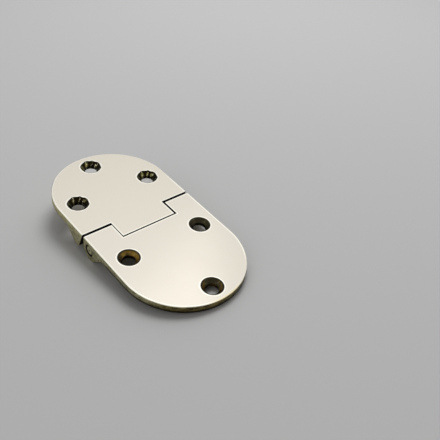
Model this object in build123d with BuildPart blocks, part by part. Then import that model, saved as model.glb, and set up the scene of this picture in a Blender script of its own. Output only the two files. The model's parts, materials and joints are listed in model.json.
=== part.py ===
from build123d import *
from math import cos, hypot, radians, sin, tan
import os

# Butler tray hinge, laid open flat: two round-ended leaves that meet in a stepped knuckle.
# X runs along the pin, +Y towards the tongued leaf, -Y towards the eared leaf, +Z up.
# The origin lies on the flush top face, straight above the middle of the pin.

# Leaves
width = 38.0
tongued_reach = 35.75  # from the pin axis to the round end of the tongued leaf
eared_reach = 37.5  # from the pin axis to the round end of the eared leaf
leaf_thickness = 2.3
rim_round = 0.35  # along the top edge of the outline

# Countersunk screw holes
screw_hole_diameter = 4.0
countersink_diameter = 6.5
countersink_angle = 90.0
hole_rim_chamfer = 0.12  # where the countersinks meet the top face
side_hole_spacing = 25.5
tongued_side_hole = 16.5  # from the pin axis to the line of the two side holes
eared_side_hole = 10.95
tongued_end_inset = 5.4  # from the round end to the middle of the end hole
eared_end_inset = 5.1

# Knuckle
pin_diameter = 3.2
pin_depth = 3.1  # pin axis below the top face
pin_recess = 0.15  # from the leaves' side faces in to each end of the pin
pin_end_chamfer = 0.3
ear_mouth_chamfer = 0.25  # lead-in for the pin at the ears' outer faces
tongue_width = 18.65
tongued_boss_depth = 6.1  # underside of the tongue and its boss below the top face
eared_boss_depth = 6.5  # underside of the ears below the top face
ear_reach = 2.95  # from the pin axis to the upright face of the ears
end_face_slant = 20.0  # lean of the tongued leaf's end faces, from upright
boss_slope = 40.0  # ramp from the bosses up to the leaves, from level
boss_round = 0.7
tongued_boss_land = 2.0  # flat under the tongued leaf's boss, from its end faces to its ramp
eared_boss_land = 1.4  # flat under the ears, from the pin axis to their ramp

# Clearances
pin_running_gap = 0.05  # around the pin in the tongue
tongue_left_gap = 0.13  # the tongue has slid along the pin, nearer to the left ear
tongue_right_gap = 0.48
seam_gap = 0.32  # between the tongue's front and the notch lip, lying flat
fold_gap = 0.06  # between the notch lip and the tongued leaf, folded upright
swing_gap = 0.26  # between the end faces and the ears' top corners as they pass

# The lip of the notch stops the upright leaf, so it stands off the pin as the top face does.
pin_radius = pin_diameter / 2
lip_reach = pin_depth + fold_gap
tongue_reach = lip_reach - seam_gap
notch_radius = hypot(lip_reach, pin_depth)
notch_left = -tongue_width / 2 - tongue_left_gap
notch_width = tongue_left_gap + tongue_width + tongue_right_gap

# The end faces lean back, just clear of the circle that the ears' top corners pass on.
lean = radians(end_face_slant)
passing_radius = hypot(ear_reach, pin_depth) + swing_gap
end_face_top = (passing_radius - pin_depth * sin(lean)) / cos(lean)
end_face_foot = (passing_radius + (tongued_boss_depth - pin_depth) * sin(lean)) / cos(lean)
tongued_land_end = end_face_foot + tongued_boss_land
ear_room = (width - tongue_width) / 2

# Each leaf is drawn on a ground plane whose y points from the pin to the leaf's round end.
tongued_ground = Plane.XY
eared_ground = Plane((0, 0, 0), x_dir=(-1, 0, 0))
pin_line = Plane((0, 0, -pin_depth), x_dir=(0, 1, 0), z_dir=(1, 0, 0))


def side_profile(ground, front, depth, land_end, reach):
    """A leaf seen along the pin: round-bottomed knuckle, boss, ramp and thin leaf."""
    ramp_end = land_end + (depth - leaf_thickness) / tan(radians(boss_slope))
    with BuildSketch(Plane(ground.origin, x_dir=ground.y_dir, z_dir=ground.x_dir)) as profile:
        with BuildLine():
            Polyline(
                (0, -depth),
                (land_end, -depth),
                (ramp_end, -leaf_thickness),
                (reach, -leaf_thickness),
                (reach, 0),
                (-front, 0),
                (-front, front - depth),
            )
            CenterArc((0, front - depth), front, 180, 90)
        make_face()
        land_corner = profile.vertices().group_by(Axis.Y)[0].sort_by(Axis.X)[-1]
        fillet(land_corner, boss_round)
    return profile.sketch


def leaf_outline(ground, front, reach):
    """A leaf seen from above: straight sides and a full round end."""
    half = width / 2
    with BuildSketch(ground) as outline:
        with BuildLine():
            Polyline((-half, reach - half), (-half, -front), (half, -front), (half, reach - half))
            ThreePointArc((half, reach - half), (0, reach), (-half, reach - half))
        make_face()
    return outline.sketch


def leaf_rim(blank):
    """The top edges of a blank, apart from the straight one at its knuckle."""
    return blank.edges().group_by(Axis.Z)[-1].sort_by_distance((0, 0, 0))[1:]


def screw_holes(leaf, side_hole, end_hole):
    """Sink two side holes and an end hole, measured from the pin, into a leaf and break their rims."""
    half_spacing = side_hole_spacing / 2
    with Locations((-half_spacing, side_hole), (half_spacing, side_hole), (0, end_hole)):
        CounterSinkHole(
            screw_hole_diameter / 2,
            countersink_diameter / 2,
            counter_sink_angle=countersink_angle,
        )
    top_circles = leaf.edges().filter_by(GeomType.CIRCLE).group_by(Axis.Z)[-1]
    chamfer(top_circles.group_by(SortBy.RADIUS)[0], hole_rim_chamfer)


# Tongued leaf: the middle knuckle, between two leaning end faces that the ears swing past
with BuildPart(tongued_ground) as tongued_leaf:
    extrude(
        side_profile(
            tongued_ground, tongue_reach, tongued_boss_depth, tongued_land_end, tongued_reach
        ),
        width / 2,
        both=True,
    )
    extrude(
        leaf_outline(tongued_ground, tongue_reach, tongued_reach),
        -tongued_boss_depth,
        mode=Mode.INTERSECT,
    )
    fillet(leaf_rim(tongued_leaf), rim_round)
    with BuildSketch(Plane.YZ.offset(tongue_width / 2), Plane.YZ.offset(-width / 2)):
        with BuildLine():
            Polyline(
                (end_face_top, 0),
                (end_face_foot, -tongued_boss_depth),
                (-tongue_reach, -tongued_boss_depth),
                (-tongue_reach, 0),
                close=True,
            )
        make_face()
    extrude(amount=ear_room, mode=Mode.SUBTRACT)
    end_face_feet = tongued_leaf.edges().filter_by(Axis.X).group_by(Axis.Z)[0].group_by(Axis.Y)[1]
    fillet(end_face_feet, boss_round)
    with BuildSketch(pin_line):
        Circle(pin_radius + pin_running_gap)
    extrude(amount=width / 2, both=True, mode=Mode.SUBTRACT)
    screw_holes(tongued_leaf, tongued_side_hole, tongued_reach - tongued_end_inset)

# Eared leaf: two ears beside a notch, whose round back wall lets the tongue turn in it
with BuildPart(eared_ground) as eared_leaf:
    extrude(
        side_profile(eared_ground, ear_reach, eared_boss_depth, eared_boss_land, eared_reach),
        width / 2,
        both=True,
    )
    extrude(
        leaf_outline(eared_ground, ear_reach, eared_reach),
        -eared_boss_depth,
        mode=Mode.INTERSECT,
    )
    fillet(leaf_rim(eared_leaf), rim_round)
    with BuildSketch(pin_line.offset(notch_left)):
        Circle(notch_radius)
        Rectangle(2 * notch_radius, eared_boss_depth, align=(Align.CENTER, Align.MAX))
    extrude(amount=notch_width, mode=Mode.SUBTRACT)
    with BuildSketch(pin_line):
        Circle(pin_radius)
    extrude(amount=width / 2, both=True, mode=Mode.SUBTRACT)
    bore_mouths = eared_leaf.edges(Select.LAST).group_by(Axis.X)
    chamfer(bore_mouths[0] + bore_mouths[-1], ear_mouth_chamfer)
    screw_holes(eared_leaf, eared_side_hole, eared_reach - eared_end_inset)

# Pin, pressed into both ears
with BuildPart() as hinge_pin:
    with BuildSketch(pin_line):
        Circle(pin_radius)
    extrude(amount=width / 2 - pin_recess, both=True)
    chamfer(hinge_pin.edges().filter_by(GeomType.CIRCLE), pin_end_chamfer)

os.makedirs("parts", exist_ok=True)
tongued_leaf.part.label = "tongued_leaf"
export_step(tongued_leaf.part, "parts/tongued_leaf.step")
eared_leaf.part.label = "eared_leaf"
export_step(eared_leaf.part, "parts/eared_leaf.step")
hinge_pin.part.label = "hinge_pin"
export_step(hinge_pin.part, "parts/hinge_pin.step")
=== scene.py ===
import json
import math

import bpy
from mathutils import Matrix, Quaternion, Vector


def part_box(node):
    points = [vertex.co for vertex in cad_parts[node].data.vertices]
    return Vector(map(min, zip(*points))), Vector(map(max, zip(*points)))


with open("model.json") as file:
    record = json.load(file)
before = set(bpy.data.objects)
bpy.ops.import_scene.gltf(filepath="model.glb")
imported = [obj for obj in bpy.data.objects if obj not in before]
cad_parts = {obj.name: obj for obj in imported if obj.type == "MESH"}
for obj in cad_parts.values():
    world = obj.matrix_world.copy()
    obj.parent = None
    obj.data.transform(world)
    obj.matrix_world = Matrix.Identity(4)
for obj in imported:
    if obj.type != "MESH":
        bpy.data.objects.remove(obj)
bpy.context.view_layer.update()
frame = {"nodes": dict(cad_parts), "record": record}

MM = 0.001

# A pair for a soft border says where a mark has faded out, then where it is whole

# Photograph's viewpoint
camera_spot = Vector((-79.97, -107.01, 119.73)) * MM
camera_aim = Vector((19.28, -12.89, 0.0)) * MM
camera_lean = math.radians(9.31)
camera_lens = 48.33
camera_clip = (0.005, 10.0)

# Table under the hinge, which stands on its ears and on the round end of the eared leaf
rest_tilt = math.radians(6.42)
table_reach = 0.9
table_fade = (0.98 * table_reach, 0.35)
table_grey = (0.50, 0.50, 0.50, 1.0)

# Light: a way is a compass turn from +X and a rise above the horizon, in degrees, a spread two cosines
falling_lights = {
    "behind": {"way": (45, 45), "spread": (0.50, 0.95), "level": 0.70},
    "beside": {"way": (180, 25), "spread": (0.60, 0.97), "level": 0.83},
    "low_behind": {"way": (45, 10), "spread": (0.60, 0.97), "level": 1.34},
}
softbox_way = (43, 50)
softbox_distance = 0.52
softbox_size = 0.28
softbox_energy = 1.33

# Room that the brass mirrors
panel_corner_way = (47, 46)
panel_level = 0.26
panel_foot = (-0.09, 0.06)
panel_side = (-0.09, 0.0)
wall_level = 1.01
wall_left_end = 0.35
wall_right_end = -0.25
wall_top = 0.25
wall_foot = -0.30
ceiling_height = (0.80, 0.93)
ceiling_level = 1.10
dim_side_way = (226, 35)
dim_side_spread = (0.60, 0.95)
dim_side_loss = 0.55
white = (1.0, 1.0, 1.0, 1.0)
mirror_rays = ("Is Camera Ray", "Is Glossy Ray", "Is Transmission Ray")

# Faces of a leaf, told apart by how far they look up and how deep they lie
top_facing = (0.35, 0.75)
top_depth = (0.8 * MM, 0.5 * MM)
back_facing = (-0.5, -0.8)
# Bevels and rounds tipped this far from level get the painted rim highlight
bevel_facing = (0.985, 0.93)

# Screw holes
countersink_radius = 3.40 * MM
countersink_rim = 0.02 * MM
countersink_depth = (0.02 * MM, 0.12 * MM)
bore_depth = (1.19 * MM, 1.25 * MM)
# The band down the countersink wall that can take a painted highlight
bright_wall_depth = (0.15 * MM, 0.55 * MM)
chatter_lobes = 8
chatter_drift = 12.0
scallop_reach = 0.10 * MM
scallop_inset = (0.06 * MM, 0.13 * MM)
# Painted highlight ring round each hole, past the countersink's edge, and how much its width wavers
ring_highlight_reach = (0.52 * MM, 0.10 * MM)
ring_highlight_waver = 0.7 * MM
hole_record = {
    "eared_leaf": ("eared_side_screws", "eared_end_screw"),
    "tongued_leaf": ("tongued_side_screws", "tongued_end_screw"),
}

# Stepped seam, knuckle and pin
shoulder = 3.70 * MM
notch_front = -3.16 * MM
tongue_half = 9.325 * MM
notch_middle = 0.175 * MM
notch_half = 9.63 * MM
# Painted highlight on the top along the seam's edges
lip_rim = (0.65 * MM, 0.30 * MM)
# Painted shade: a dark line on the top along the seam's edges, and the gaps between the ears and the mouth
# of the pin's hole painted near-black
lip_shade = (0.13 * MM, 0.06 * MM)
shade_inset = (0.05 * MM, 0.15 * MM)
shade_along = (6.4 * MM, 6.1 * MM)
pin_axis = Vector(frame["record"]["behaviour"]["joints"][0]["pos_m"])
pin_mouth = (2.05 * MM, 1.80 * MM)
# Dark rings on the pin's end faces; the outer one is painted shade on the chamfer and gap
pin_ring = (1.15 * MM, 1.35 * MM)
pin_centre = (0.50 * MM, 0.25 * MM)

# Painted highlights along the outline, painted light on the left edges and painted shade at the edges' foot;
# two pairs are the two ends of a stretch
outline_rim = (0.62 * MM, 0.35 * MM)
left_highlight_across = (6 * MM, -6 * MM)
right_rim = (0.85 * MM, 0.52 * MM)
right_across = (12 * MM, 16 * MM)
right_along = ((-33 * MM, -26 * MM), (17 * MM, 9 * MM))
gold_highlight_along = (-28 * MM, -32 * MM)
gold_highlight_across = ((-6 * MM, -1 * MM), (9 * MM, 4 * MM))
left_lit_across = (-14 * MM, -18.5 * MM)
left_lit_along = (16 * MM, 10 * MM)
foot_depth = (1.2 * MM, 2.0 * MM)
foot_along = (7.15 * MM, 10.1 * MM)

# Lumps and lines in the brass: how far one reaches across, along and down
haze_grain = (9 * MM, 12 * MM, 9 * MM)
hair_grain = (0.09 * MM, 7 * MM, 1 * MM)
scratch_grain = (0.05 * MM, 5 * MM, 1 * MM)
scratch_slant = math.radians(31)
mottle_grain = (1.8 * MM, 1.8 * MM, 0.9 * MM)
speck_grain = (0.30 * MM, 0.30 * MM, 0.30 * MM)
ground_grain = (5 * MM, 0.07 * MM, 5 * MM)
cast_grain = (7 * MM, 7 * MM, 7 * MM)
drift_grain = (3 * MM, 3 * MM, 4 * MM)
patch_grain = (1.9 * MM, 1.9 * MM, 1.9 * MM)
ring_grain = (30 * MM, 30 * MM, 0.09 * MM)
drawn_grain = (6 * MM, 0.12 * MM, 0.12 * MM)
wire_spot_grain = (0.5 * MM, 0.5 * MM, 0.5 * MM)

# Brass colours
# Painted highlight colours: cream on the bright rims, gold near the round end
rim_highlight_cream = (0.96, 0.935, 0.83, 1.0)
rim_highlight_gold = (0.90, 0.81, 0.55, 1.0)
# Painted glints on the countersinks' lobes
sparkle = (0.80, 0.76, 0.52, 1.0)
# Painted shade in the knuckle's gaps and along the seam
seam_shade_black = (0.008, 0.0065, 0.004, 1.0)
# Painted shade in the bores
bore_shade_black = (0.020, 0.017, 0.010, 1.0)
# Painted light: lighter olive on the left edges and ears
left_lit_olive = (0.72, 0.70, 0.43, 1.0)
# Painted shade at the foot of the edges
foot_shade_brown = (0.030, 0.022, 0.008, 1.0)
back_brass = (0.68, 0.58, 0.29, 1.0)
back_dull = (0.39, 0.32, 0.145, 1.0)
wire_gold = (0.80, 0.75, 0.48, 1.0)
wire_dark = (0.12, 0.09, 0.04, 1.0)

# In a hole, gold is how much of the wall gets a painted highlight, lean the side it lies on, and the last
# entry how strongly the bore is painted black as shade.
# Chatter is how strongly the cutter's lobes show, and the entry after it how deep the knuckle's painted
# shade reaches.
# Both leaves are the same brass: where their polish, edge and hole colours differ, that is painted light and
# shade, the eared leaf's edges darker and its top whiter
leaf_looks = {
    "eared_leaf": {
        "polish": (0.775, 0.729, 0.648, 1.0),
        "polish_warm": (0.770, 0.721, 0.628, 1.0),
        "edge": (0.40, 0.335, 0.135, 1.0),
        "edge_dark": (0.075, 0.052, 0.016, 1.0),
        # Countersink walls: painted shade, and a painted highlight in gold
        "hole_shade_dark": (0.040, 0.034, 0.018, 1.0),
        "hole_highlight_gold": (0.24, 0.145, 0.026, 1.0),
        "holes": (
            {"gold": 0.32, "lean": (0.30, 0.0, 0.0), "bore_shade": 0.90},
            {"gold": 0.00, "lean": (-0.10, 0.0, 0.0), "bore_shade": 0.40},
            {"gold": 0.30, "lean": (-0.05, -0.10, 0.0), "bore_shade": 0.25},
        ),
        "chatter": 0.1,
        "shade_depth": 1.6 * MM,
        "foot_shade": 0.9,
    },
    "tongued_leaf": {
        "polish": (0.772, 0.727, 0.634, 1.0),
        "polish_warm": (0.768, 0.722, 0.620, 1.0),
        "edge": (0.56, 0.51, 0.24, 1.0),
        "edge_dark": (0.30, 0.26, 0.105, 1.0),
        # Countersink walls: painted shade, and a painted highlight in gold
        "hole_shade_dark": (0.012, 0.009, 0.003, 1.0),
        "hole_highlight_gold": (0.22, 0.20, 0.07, 1.0),
        "holes": ({"gold": 0.14, "lean": (-0.10, 0.11, 0.0), "bore_shade": 0.45},) * 3,
        "chatter": 1.0,
        "shade_depth": 7.0 * MM,
        "foot_shade": 0.2,
    },
}


class Value:
    """A shader socket that can stand in a sum: each operator adds one Math node."""

    def __init__(self, nodes, socket):
        self.nodes = nodes
        self.socket = socket

    def math(self, operation, first, second=0.0):
        return self.nodes.node("ShaderNodeMath", {"operation": operation}, {0: first, 1: second})

    def __add__(self, other):
        return self.math("ADD", self, other)

    def __sub__(self, other):
        return self.math("SUBTRACT", self, other)

    def __rsub__(self, other):
        return self.math("SUBTRACT", other, self)

    def __mul__(self, other):
        return self.math("MULTIPLY", self, other)

    def __abs__(self):
        return self.math("ABSOLUTE", self)

    def sine(self):
        return self.math("SINE", self)

    def turn_from(self, across):
        return self.math("ARCTAN2", self, across)

    def least(self, other):
        return self.math("MINIMUM", self, other)

    def most(self, other):
        return self.math("MAXIMUM", self, other)

    def towards(self, other, share):
        """This value where share is 0, the other one where it is 1."""
        return self + (other - self) * share

    __radd__ = __add__
    __rmul__ = __mul__


class Nodes:
    """A node tree that grows by one call for each node."""

    def __init__(self, owner):
        owner.use_nodes = True
        self.tree = owner.node_tree
        self.tree.nodes.clear()

    def node(self, kind, settings=None, sockets=None, output=0):
        """Adds a node, sets it up, then fills or links its sockets. Gives back one of its outputs."""
        made = self.tree.nodes.new(kind)
        for name, setting in (settings or {}).items():
            setattr(made, name, setting)
        for key, value in (sockets or {}).items():
            if isinstance(value, Value):
                self.tree.links.new(value.socket, made.inputs[key])
            else:
                made.inputs[key].default_value = value
        return Value(self, made.outputs[output]) if made.outputs else None

    def axis(self, vector, letter):
        return self.node("ShaderNodeSeparateXYZ", None, {0: vector}, letter)

    def vector(self, operation, first, second, output=0):
        return self.node("ShaderNodeVectorMath", {"operation": operation}, {0: first, 1: second}, output)

    def dot(self, first, second):
        return self.vector("DOT_PRODUCT", first, second, "Value")

    def length(self, vector):
        return self.node("ShaderNodeVectorMath", {"operation": "LENGTH"}, {0: vector}, "Value")

    def step(self, value, none, whole):
        """0 up to none, 1 from whole on and a smooth change between, whichever of the two is higher."""
        settings = {"interpolation_type": "SMOOTHSTEP"}
        sockets = {"Value": value, "From Min": none, "From Max": whole}
        return self.node("ShaderNodeMapRange", settings, sockets)

    def stretch(self, value, start, end):
        """1 between two ends, each of which fades as its own pair says."""
        return self.step(value, *start) * self.step(value, *end)

    def mix(self, share, first, second):
        return self.node("ShaderNodeMix", {"data_type": "RGBA"}, {0: share, 6: first, 7: second}, 2)

    def noise(self, place, grain, detail=2.0):
        """Noise from 0 to 1 whose lumps measure grain = (x, y, z) in metres."""
        stretched = self.vector("DIVIDE", place, grain)
        return self.node("ShaderNodeTexNoise", None, {"Vector": stretched, "Scale": 1.0, "Detail": detail})

    def brass(self, sockets):
        """Ends the tree in a shader with these sockets."""
        shader = self.node("ShaderNodeBsdfPrincipled", None, sockets)
        self.node("ShaderNodeOutputMaterial", None, {"Surface": shader})


class LeafPaint(Nodes):
    """The nodes of one leaf's finish, with what all its faces share."""

    def __init__(self, leaf, material):
        super().__init__(material)
        self.leaf = leaf
        self.look = leaf_looks[leaf]
        self.low, self.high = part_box(leaf)
        self.place = self.node("ShaderNodeTexCoord", output="Object")
        self.across = self.axis(self.place, "X")
        self.along = self.axis(self.place, "Y")
        self.depth = 0.0 - self.axis(self.place, "Z")
        self.up = self.axis(self.node("ShaderNodeTexCoord", output="Normal"), "Z")
        self.mottle = self.noise(self.place, mottle_grain, 3.0)
        self.specks = self.noise(self.place, speck_grain, 3.0)


def screw_spots(leaf):
    """The centres of a leaf's three screw holes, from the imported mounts."""
    mounts = {mount["name"]: mount for mount in frame["record"]["mounts"]}
    side, end = (mounts[name] for name in hole_record[leaf])
    middle = Vector(side["pos_m"])
    aside = Vector((side["dims"]["spacing_x_mm"] * MM / 2, 0.0, 0.0))
    return [middle - aside, middle + aside, Vector(end["pos_m"])]


def one_hole(paint, spot, finish):
    """The marks of one hole: inside, scallops, the painted highlight ring round it, the painted highlight on
    its wall, painted shade in the bore and the cutter's lobes.
    """
    offset = paint.vector("SUBTRACT", paint.place, spot)
    level = paint.vector("MULTIPLY", offset, (1.0, 1.0, 0.0))
    radius = paint.length(level)
    turn = paint.axis(offset, "Y").turn_from(paint.axis(offset, "X"))
    drift = paint.noise(offset, drift_grain)
    wave = (chatter_lobes * turn + chatter_drift * drift).sine()
    inside = paint.step(radius, countersink_radius, countersink_radius - countersink_rim)
    lit = paint.dot(level, Vector(finish["lean"]) / countersink_radius)
    scalloped = radius - scallop_reach * paint.look["chatter"] * wave
    uneven = radius + ring_highlight_waver * (drift - 0.5)
    return {
        "inside": inside,
        "scallops": paint.step(scalloped, *(countersink_radius - inset for inset in scallop_inset)),
        "ring_highlight": paint.step(uneven, *(countersink_radius + reach for reach in ring_highlight_reach)),
        "gold": inside * (finish["gold"] + lit),
        "bore_shade": inside * finish["bore_shade"],
        "lobes": inside * wave,
    }


def hole_marks(paint):
    """The marks of a leaf's three holes, added up."""
    marks = {}
    for spot, finish in zip(screw_spots(paint.leaf), paint.look["holes"]):
        for name, mark in one_hole(paint, spot, finish).items():
            marks[name] = mark + marks.get(name, 0.0)
    return marks


def from_outline(paint):
    """How far a point on the top face lies from its leaf's straight sides and round end."""
    half_width = (paint.high[0] - paint.low[0]) / 2
    if paint.leaf == "eared_leaf":
        past_centre = paint.low[1] + half_width - paint.along
    else:
        past_centre = paint.along - (paint.high[1] - half_width)
    from_axis = paint.node("ShaderNodeCombineXYZ", None, {"X": paint.across, "Y": past_centre.most(0.0)})
    return half_width - paint.length(from_axis)


def from_seam(paint):
    """How far a point on the top face lies from its leaf's stepped seam."""
    if paint.leaf == "eared_leaf":
        from_notch = (abs(paint.across - notch_middle) - notch_half).most(notch_front - paint.along)
        return (paint.high[1] - paint.along).least(from_notch)
    on_tongue = (tongue_half - abs(paint.across)).least(paint.along - paint.low[1])
    return (paint.along - shoulder).most(on_tongue)


def from_pin(paint, place):
    """How far a point lies from the pin's axis."""
    offset = paint.vector("SUBTRACT", place, pin_axis)
    return paint.length(paint.vector("MULTIPLY", offset, (0.0, 1.0, 1.0)))


def knuckle_painted_shade(paint):
    """Painted shade: the mouths of the gaps between the outer faces of the ears, and of the pin's hole."""
    shade_depth = paint.look["shade_depth"]
    ear_face = paint.high[0]
    between_ears = paint.step(abs(paint.across), *(ear_face - inset for inset in shade_inset))
    by_pin = paint.step(abs(paint.along), *shade_along)
    shallow = paint.step(paint.depth, 1.3 * shade_depth, 0.7 * shade_depth)
    return (between_ears * by_pin * shallow).most(paint.step(from_pin(paint, paint.place), *pin_mouth))


def painted_rim_highlights(paint, marks, outline, lip):
    """Painted highlights on the rims of the holes, bevels, seam and outline; the outline's is brightest on
    its sides.
    """
    left_side = 0.25 + 0.75 * paint.step(paint.across, *left_highlight_across)
    right_side = paint.step(paint.across, *right_across) * paint.stretch(paint.along, *right_along)
    rims = marks["ring_highlight"].most(left_side * paint.step(outline, *outline_rim))
    rims = rims.most(right_side * paint.step(outline, *right_rim))
    return rims.most(paint.step(paint.up, *bevel_facing)).most(paint.step(lip, *lip_rim))


def polished_top(paint, marks, lip):
    """Colour, roughness and height of the top: polish haze, hair lines, scratches, painted rim highlights
    and the scallops' painted shade.
    """
    haze = paint.noise(paint.place, haze_grain)
    hair = paint.noise(paint.place, hair_grain, 3.0)
    slant = {"Vector": paint.place, "Rotation": (0.0, 0.0, scratch_slant)}
    slanted = paint.node("ShaderNodeMapping", None, slant)
    scratch = paint.step(paint.noise(slanted, scratch_grain), 0.70, 0.80)
    outline = from_outline(paint)
    rims = painted_rim_highlights(paint, marks, outline, lip)
    # Painted highlight: near the round end the rim turns gold
    gold_highlight = paint.step(paint.along, *gold_highlight_along) * paint.stretch(paint.across, *gold_highlight_across)
    gold_highlight = gold_highlight * paint.step(outline, *outline_rim)
    colour = paint.mix(haze, paint.look["polish"], paint.look["polish_warm"])
    colour = paint.mix(rims.most(0.9 * gold_highlight), colour, paint.mix(gold_highlight, rim_highlight_cream, rim_highlight_gold))
    # Painted shade: the scallops round each hole take the countersinks' dark colour
    colour = paint.mix(marks["scallops"], colour, paint.look["hole_shade_dark"])
    rough = 0.06 + 0.07 * haze + 0.04 * hair + 0.10 * scratch
    height = 0.03 * haze + 0.0006 * hair - 0.001 * scratch
    return colour, rough, height


def aged_and_painted_edge(paint):
    """Colour, roughness and height of the edges: mottled olive, lighter on the left as painted light, darker
    at the foot as painted shade.
    """
    tarnish = paint.step(paint.mottle + 0.4 * (paint.specks - 0.5), 0.30, 0.72)
    # Painted light on the left edges and ears, painted shade at the foot away from the knuckle
    left_lit = paint.step(paint.across, *left_lit_across) * paint.step(paint.along, *left_lit_along)
    foot = paint.step(paint.depth, *foot_depth) * paint.step(abs(paint.along), *foot_along)
    colour = paint.mix(tarnish, paint.look["edge"], paint.look["edge_dark"])
    colour = paint.mix(left_lit * (0.85 - 0.55 * tarnish), colour, left_lit_olive)
    colour = paint.mix(paint.look["foot_shade"] * foot, colour, foot_shade_brown)
    rough = 0.28 + 0.20 * paint.mottle
    height = 0.012 * paint.mottle + 0.003 * paint.specks
    return colour, rough, height


def aged_back(paint):
    """Colour, roughness and height of the back: ground crosswise and dulled in patches."""
    ground = paint.noise(paint.place, ground_grain, 3.0)
    cast = paint.noise(paint.place, cast_grain, 3.0)
    aged = paint.step(0.50 * cast + 0.30 * paint.mottle + 0.20 * ground, 0.36, 0.66)
    colour = paint.mix(aged, back_brass, back_dull)
    rough = 0.28 + 0.20 * paint.mottle - 0.10 * cast
    height = 0.02 * ground
    return colour, rough, height


def countersink_wall(paint, marks, bore):
    """Colour and height in the holes: painted shade between the cutter's lobes and in the bore, a painted
    highlight in gold where the wall is bright and painted glints on the lobes.
    """
    chatter = paint.look["chatter"]
    patch = paint.noise(paint.place, patch_grain)
    bright = paint.step(marks["gold"] + 1.6 * (patch - 0.5) + 0.30 * chatter * marks["lobes"], 0.15, 0.75)
    bright = bright * paint.step(paint.depth, *bright_wall_depth)
    glint = chatter * paint.step(marks["lobes"], 0.80, 0.97) * paint.step(paint.specks, 0.52, 0.60)
    colour = paint.mix(bright, paint.look["hole_shade_dark"], paint.look["hole_highlight_gold"])
    colour = paint.mix(glint, colour, sparkle)
    colour = paint.mix(marks["bore_shade"] * bore, colour, bore_shade_black)
    height = 0.09 * chatter * marks["lobes"] + 0.006 * paint.noise(paint.place, ring_grain)
    return colour, height


def leaf_brass(leaf):
    """Cream polished top with painted rim highlights, olive edges with painted light and shade, countersinks
    painted with shade and highlights, painted shade in the seam, and aged back.
    """
    # Brass with painted highlights and painted shade
    material = bpy.data.materials.new(leaf + "_finish")
    paint = LeafPaint(leaf, material)
    marks = hole_marks(paint)
    lip = from_seam(paint)
    top = paint.step(paint.up, *top_facing) * paint.step(paint.depth, *top_depth)
    back = paint.step(paint.up, *back_facing)
    hole = marks["inside"] * paint.step(paint.depth, *countersink_depth) * (1.0 - back)
    bore = hole * paint.step(paint.depth, *bore_depth)
    # Painted shade: the knuckle's gaps and a line along the seam's top edges turn near-black and almost matt
    seam = knuckle_painted_shade(paint) * (1.0 - top) * (1.0 - back) * (1.0 - marks["inside"])
    seam = seam.most(top * paint.step(lip, *lip_shade))

    top_colour, top_rough, top_height = polished_top(paint, marks, lip)
    edge_colour, edge_rough, edge_height = aged_and_painted_edge(paint)
    back_colour, back_rough, back_height = aged_back(paint)
    hole_colour, hole_height = countersink_wall(paint, marks, bore)

    colour = paint.mix(top, edge_colour, top_colour)
    colour = paint.mix(back, colour, back_colour)
    colour = paint.mix(hole, colour, hole_colour)
    colour = paint.mix(seam, colour, seam_shade_black)
    rough = edge_rough.towards(back_rough, back) + 0.45 * seam
    rough = rough.towards(top_rough, top * (1.0 - hole) * (1.0 - seam))
    height = edge_height.towards(back_height, back).towards(top_height, top).towards(hole_height, hole)
    bump = paint.node("ShaderNodeBump", None, {"Strength": 1.0, "Distance": MM, "Height": height})
    paint.brass({
        "Base Color": colour,
        "Metallic": 1.0 - 0.95 * seam,
        "Roughness": rough,
        "Specular IOR Level": 0.1,
        "Normal": bump,
    })
    return material


def pin_brass():
    """Drawn wire whose end faces show a dark centre and a dark outer ring, the ring painted shade on the
    chamfer and gap.
    """
    material = bpy.data.materials.new("hinge_pin_finish")
    paint = Nodes(material)
    place = paint.node("ShaderNodeTexCoord", output="Object")
    drawn = paint.noise(place, drawn_grain, 3.0)
    spots = paint.noise(place, wire_spot_grain, 3.0)
    radius = from_pin(paint, place)
    pin_end_rings = paint.step(radius, *pin_ring).most(paint.step(radius, *pin_centre))
    dark = pin_end_rings.most(paint.step(spots, 0.50, 0.80))
    relief = {"Strength": 0.3, "Distance": 0.01 * MM, "Height": drawn + spots}
    paint.brass({
        "Base Color": paint.mix(dark, wire_gold, wire_dark),
        "Metallic": 1.0,
        "Roughness": 0.28 + 0.2 * drawn,
        "Normal": paint.node("ShaderNodeBump", None, relief),
    })
    return material


def table_paint():
    """Matt grey, seen from above only, that thins out towards its rim."""
    material = bpy.data.materials.new("table_grey")
    paint = Nodes(material)
    distance = paint.length(paint.node("ShaderNodeTexCoord", output="Object"))
    from_below = paint.node("ShaderNodeNewGeometry", output="Backfacing")
    seen = paint.step(distance, *table_fade) * (1.0 - from_below)
    matt = paint.node("ShaderNodeBsdfDiffuse", None, {"Color": table_grey})
    clear = paint.node("ShaderNodeBsdfTransparent")
    shader = paint.node("ShaderNodeMixShader", None, {0: seen, 1: clear, 2: matt})
    paint.node("ShaderNodeOutputMaterial", None, {"Surface": shader})
    return material


def table():
    """A flat top, tilted as the hinge leans on it and raised until it touches the hinge."""
    tilt = Matrix.Rotation(-rest_tilt, 4, "X")
    normal = tilt @ Vector((0.0, 0.0, 1.0))
    lowest = min(normal.dot(v.co) for node in frame["nodes"].values() for v in node.data.vertices)
    mesh = bpy.data.meshes.new("table")
    corners = [(x * table_reach, y * table_reach, 0.0) for x, y in ((-1, -1), (1, -1), (1, 1), (-1, 1))]
    mesh.from_pydata(corners, [], [(0, 1, 2, 3)])
    mesh.materials.append(table_paint())
    top = bpy.data.objects.new("table", mesh)
    top.matrix_world = Matrix.Translation(normal * lowest) @ tilt
    bpy.context.scene.collection.objects.link(top)


def compass_way(turn, rise):
    """The unit vector at a compass turn from +X and a rise above the horizon, both in degrees."""
    level = math.cos(math.radians(rise))
    across = math.cos(math.radians(turn)) * level
    along = math.sin(math.radians(turn)) * level
    return Vector((across, along, math.sin(math.radians(rise))))


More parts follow.
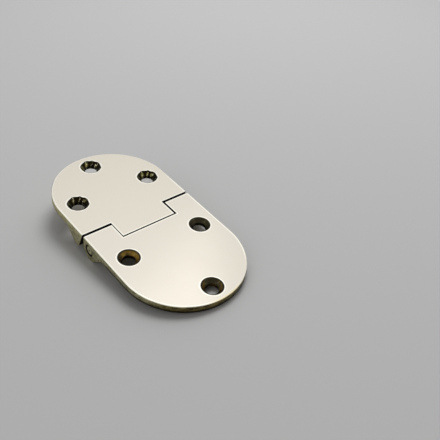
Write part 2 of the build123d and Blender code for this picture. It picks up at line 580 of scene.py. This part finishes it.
def mirrored_room(sky, way):
    """The room as the brass mirrors it: walls, the corner of a light panel, a ceiling and a dim side."""
    # Leftward and upward are measured from the panel's corner, which the near leaf shows
    corner = compass_way(*panel_corner_way)
    left = Vector((0.0, 0.0, 1.0)).cross(corner).normalized()
    leftward = sky.dot(way, left)
    upward = sky.dot(way, corner.cross(left))
    aside = leftward.least(wall_left_end).most(wall_right_end)
    height = upward.least(wall_top).most(wall_foot)
    walls = wall_level + 0.31 * height - 1.38 * height * height + 0.14 * aside - 1.67 * aside * aside
    panel = sky.step(0.59 * upward - 0.81 * leftward, *panel_foot)
    panel = panel * sky.step(leftward + 0.17 * upward, *panel_side)
    ceiling = sky.step(sky.axis(way, "Z"), *ceiling_height)
    dim_side = sky.step(sky.dot(way, compass_way(*dim_side_way)), *dim_side_spread)
    return (walls + panel_level * panel).towards(ceiling_level, ceiling) - dim_side_loss * dim_side


def falling_light(sky, way):
    """The soft light that falls on the table, from behind, from the left and low from behind."""
    falling = 0.0
    for light in falling_lights.values():
        patch = sky.step(sky.dot(way, compass_way(*light["way"])), *light["spread"])
        falling = light["level"] * patch + falling
    return falling


def studio_dome():
    """A dome that mirrors as a room and lights the table softly."""
    world = bpy.data.worlds.new("studio")
    bpy.context.scene.world = world
    sky = Nodes(world)
    way = sky.node("ShaderNodeTexCoord", output="Generated")
    rays = [sky.node("ShaderNodeLightPath", output=ray) for ray in mirror_rays]
    looked_at = rays[0].most(rays[1]).most(rays[2])
    strength = falling_light(sky, way).towards(mirrored_room(sky, way), looked_at)
    shader = sky.node("ShaderNodeBackground", None, {"Color": white, "Strength": strength})
    sky.node("ShaderNodeOutputWorld", None, {"Surface": shader})


def softbox():
    """A large lamp above and behind, which gives the shadows their side."""
    data = bpy.data.lights.new("softbox", "AREA")
    data.shape = "DISK"
    data.size = softbox_size
    data.energy = softbox_energy
    lamp = bpy.data.objects.new("softbox", data)
    way = compass_way(*softbox_way)
    lamp.location = way * softbox_distance
    lamp.rotation_euler = way.to_track_quat("Z", "Y").to_euler()
    lamp.visible_glossy = False
    lamp.visible_camera = False
    bpy.context.scene.collection.objects.link(lamp)


def camera():
    """The photograph's viewpoint, leaned sideways as it was held."""
    data = bpy.data.cameras.new("camera")
    data.lens = camera_lens
    data.clip_start, data.clip_end = camera_clip
    eye = bpy.data.objects.new("camera", data)
    level = (camera_aim - camera_spot).to_track_quat("-Z", "Y")
    eye.location = camera_spot
    eye.rotation_mode = "QUATERNION"
    eye.rotation_quaternion = level @ Quaternion((0.0, 0.0, 1.0), camera_lean)
    bpy.context.scene.collection.objects.link(eye)
    bpy.context.scene.camera = eye


for leaf in leaf_looks:
    frame["nodes"][leaf].material_slots[0].material = leaf_brass(leaf)
frame["nodes"]["hinge_pin"].material_slots[0].material = pin_brass()

table()
studio_dome()
softbox()
camera()
bpy.context.scene.view_settings.view_transform = "Standard"
